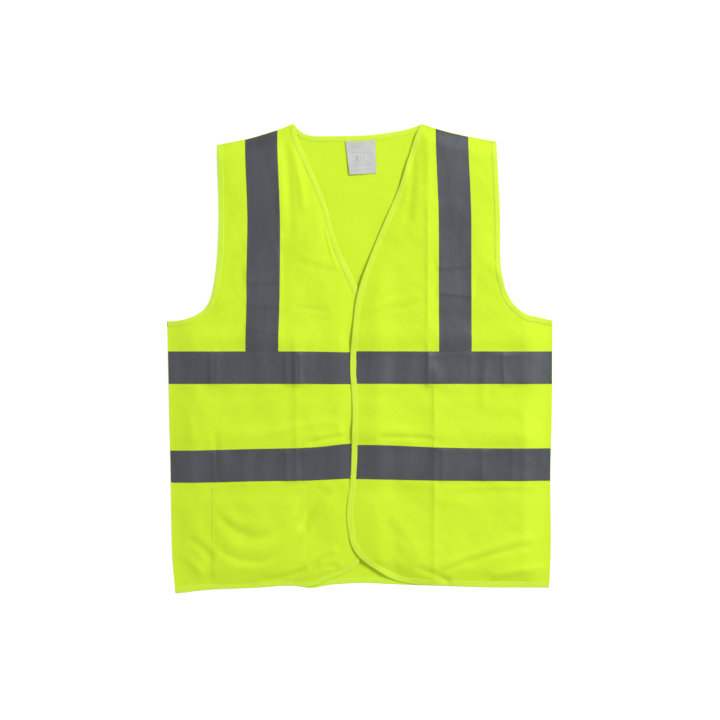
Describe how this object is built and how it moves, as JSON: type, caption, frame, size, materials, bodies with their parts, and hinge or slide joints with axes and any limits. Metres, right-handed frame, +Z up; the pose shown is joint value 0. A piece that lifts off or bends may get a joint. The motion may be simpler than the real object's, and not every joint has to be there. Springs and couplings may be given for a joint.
{
  "type": "high visibility safety vest",
  "caption": "Sleeveless fluorescent yellow safety vest laid flat, with grey reflective tapes, a V neck, a lapped front that folds open, a patch pocket and a neck label.",
  "frame": {"origin": "on the floor under the middle of the vest, which lies on its back with its front closed", "axes": "+X towards the wearer's left side, +Y towards the collar, +Z up from the back to the front"},
  "size_m": [0.594, 0.7158, 0.0147],
  "materials": {
    "knit_fabric": "matte",
    "reflective_tape": "satin",
    "edge_binding": "matte",
    "seam_thread": "matte",
    "label_cloth": "satin",
    "hook_tape": "matte",
    "loop_tape": "matte"
  },
  "bodies": {
    "vest": {"back_panel": "knit_fabric", "back_upper_band": "reflective_tape", "back_lower_band": "reflective_tape", "left_back_brace_tape": "reflective_tape", "right_back_brace_tape": "reflective_tape", "back_hem_binding": "edge_binding", "neck_binding": "edge_binding", "left_back_armhole_binding": "edge_binding", "right_back_armhole_binding": "edge_binding", "left_front_side": "knit_fabric", "right_front_side": "knit_fabric", "left_front_brace_tape": "reflective_tape", "right_front_brace_tape": "reflective_tape", "left_front_upper_band_side": "reflective_tape", "left_front_lower_band_side": "reflective_tape", "right_front_upper_band_side": "reflective_tape", "right_front_lower_band_side": "reflective_tape", "left_front_hem_binding": "edge_binding", "right_front_hem_binding": "edge_binding", "left_front_armhole_binding": "edge_binding", "right_front_armhole_binding": "edge_binding", "left_shoulder_seam": "seam_thread", "right_shoulder_seam": "seam_thread", "left_side_seam": "seam_thread", "right_side_seam": "seam_thread", "pocket_patch": "knit_fabric"},
    "left_front": {"left_front_flap": "knit_fabric", "left_front_upper_band_flap": "reflective_tape", "left_front_lower_band_flap": "reflective_tape", "left_front_edge_binding": "edge_binding", "upper_hook_patch": "hook_tape", "lower_hook_patch": "hook_tape"},
    "right_front": {"right_front_flap": "knit_fabric", "right_front_upper_band_flap": "reflective_tape", "right_front_lower_band_flap": "reflective_tape", "right_front_edge_binding": "edge_binding", "upper_loop_patch": "loop_tape", "lower_loop_patch": "loop_tape"},
    "label": {"neck_label": "label_cloth"}
  },
  "joints": [
    {"name": "left_front_fold", "type": "hinge", "parent": "vest", "child": "left_front", "pos_m": [0.1006, 0.3585, 0.012], "axis": [-0.0479, 0.9989, 0], "range_deg": [0, 175]},
    {"name": "right_front_fold", "type": "hinge", "parent": "vest", "child": "right_front", "pos_m": [-0.1006, 0.3585, 0.012], "axis": [0.0399, -0.9992, 0], "range_deg": [0, 175]},
    {"name": "label_fold", "type": "hinge", "parent": "vest", "child": "label", "pos_m": [0, 0.3332, 0.0034], "axis": [-1, 0, 0], "range_deg": [0, 150]}
  ],
  "couplings": [
    {"joint": "right_front_fold", "follows": "left_front_fold", "ratio": 1}
  ]
}
